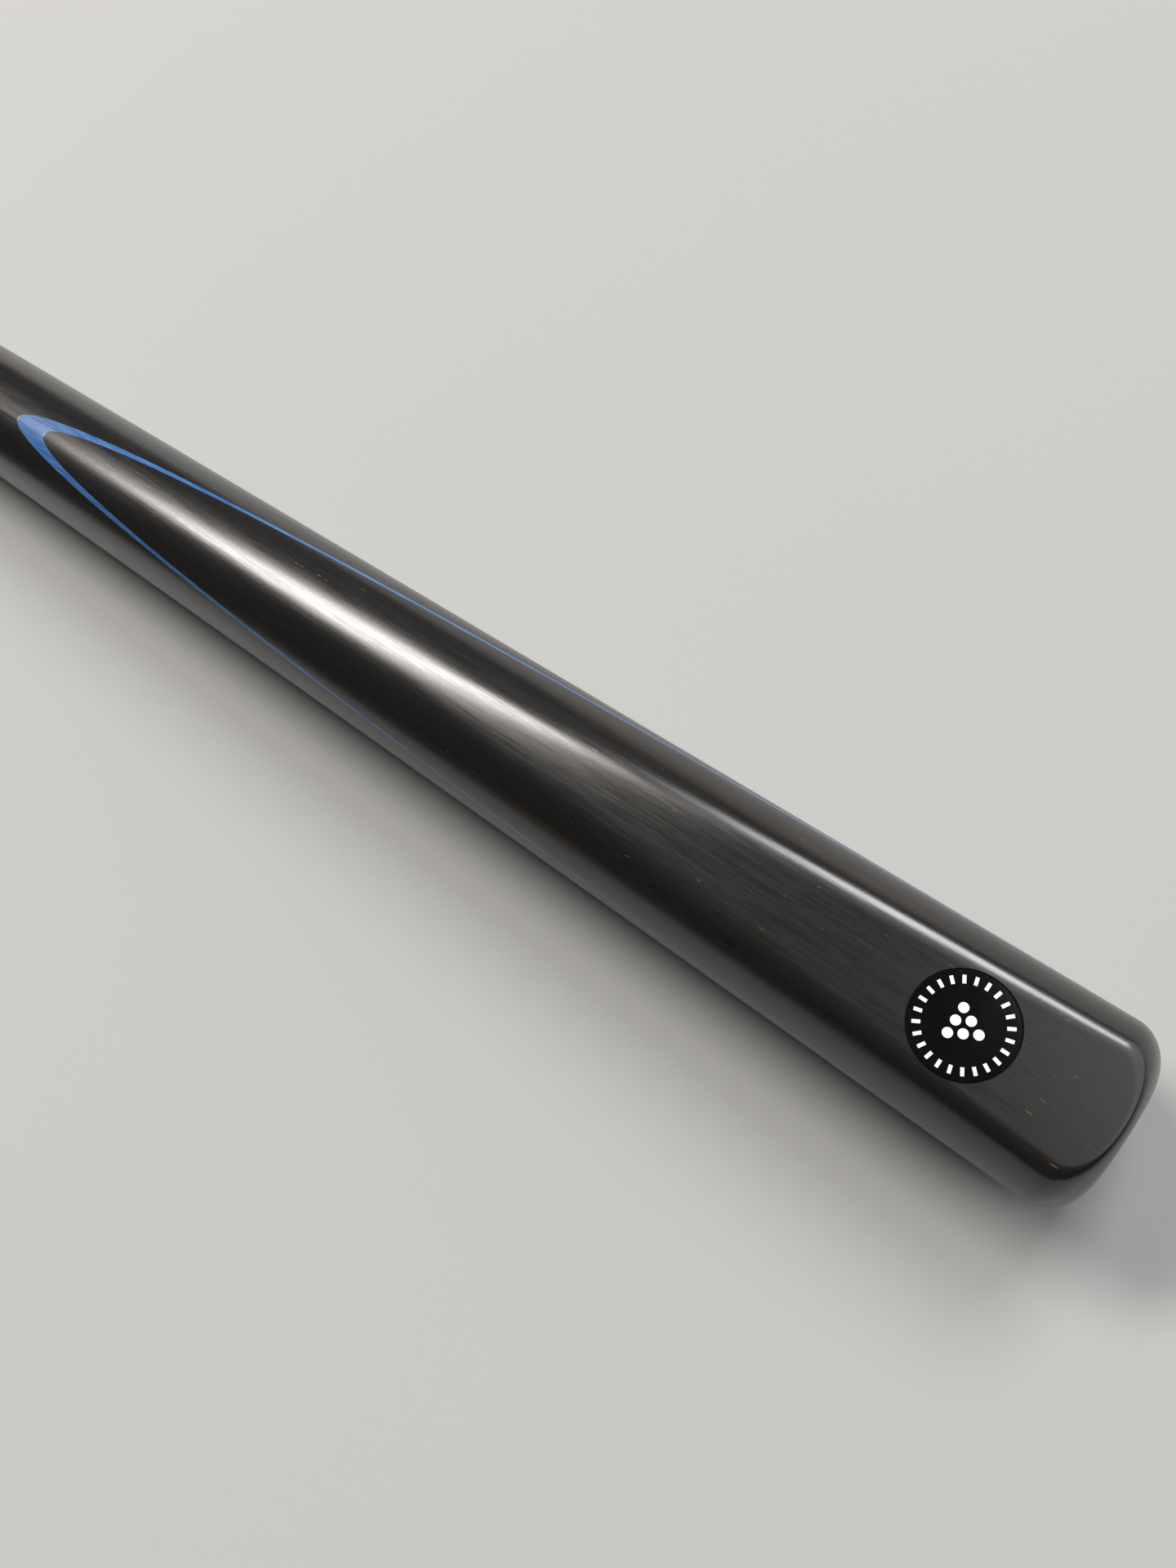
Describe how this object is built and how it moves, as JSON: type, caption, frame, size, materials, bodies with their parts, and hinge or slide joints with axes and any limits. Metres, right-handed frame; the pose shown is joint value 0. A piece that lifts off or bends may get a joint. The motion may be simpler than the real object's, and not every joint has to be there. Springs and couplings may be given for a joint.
{
  "type": "jointed snooker cue",
  "caption": "Jointed snooker cue with a hand-spliced ebony butt, blue-veneered front splice, badged flat, screw joint, tapered ash shaft, ferrule and leather tip.",
  "frame": {"origin": "centre of the butt's end face, on the cue's axis, at the mouth of the extension socket", "axes": "+X along the cue from the butt to the tip, +Z out through the badge on the flat, +Y to the left seen from the butt with the badge up"},
  "size_m": [1.473, 0.029, 0.0283],
  "materials": {
    "ebony": "oiled satin ebony with fine straight grain",
    "ash": "oiled ash with long chevron grain",
    "blue_veneer": "dyed blue veneer, oiled",
    "badge_black": "satin black disc",
    "badge_white": "white inlay",
    "brass": "turned, lightly polished",
    "weight_steel": "plain drawn rod",
    "tip_leather": "pressed leather, roughened crown"
  },
  "bodies": {
    "butt": {"butt_core": "ash", "splice_top": "ebony", "splice_bottom": "ebony", "splice_left": "ebony", "splice_right": "ebony", "front_veneer": "blue_veneer", "front_splice": "ebony", "badge_disc": "badge_black", "badge_marks": "badge_white", "extension_socket": "brass", "balance_weight": "weight_steel", "butt_collar": "brass", "joint_pin": "brass"},
    "shaft_ring": {"shaft_collar": "brass"},
    "shaft": {"shaft": "ash", "shaft_insert": "brass", "ferrule": "brass", "tip": "tip_leather"}
  },
  "joints": [
    {"name": "joint_draw", "type": "slide", "parent": "butt", "child": "shaft_ring", "axis": [1, 0, 0], "range_m": [0, 0.024]},
    {"name": "joint_turn", "type": "hinge", "parent": "shaft_ring", "child": "shaft", "pos_m": [0.422, 0, 0], "axis": [1, 0, 0], "range_deg": [0, 1153]}
  ],
  "couplings": [
    {"joint": "joint_turn", "follows": "joint_draw", "rad_per_m": 837.76}
  ]
}
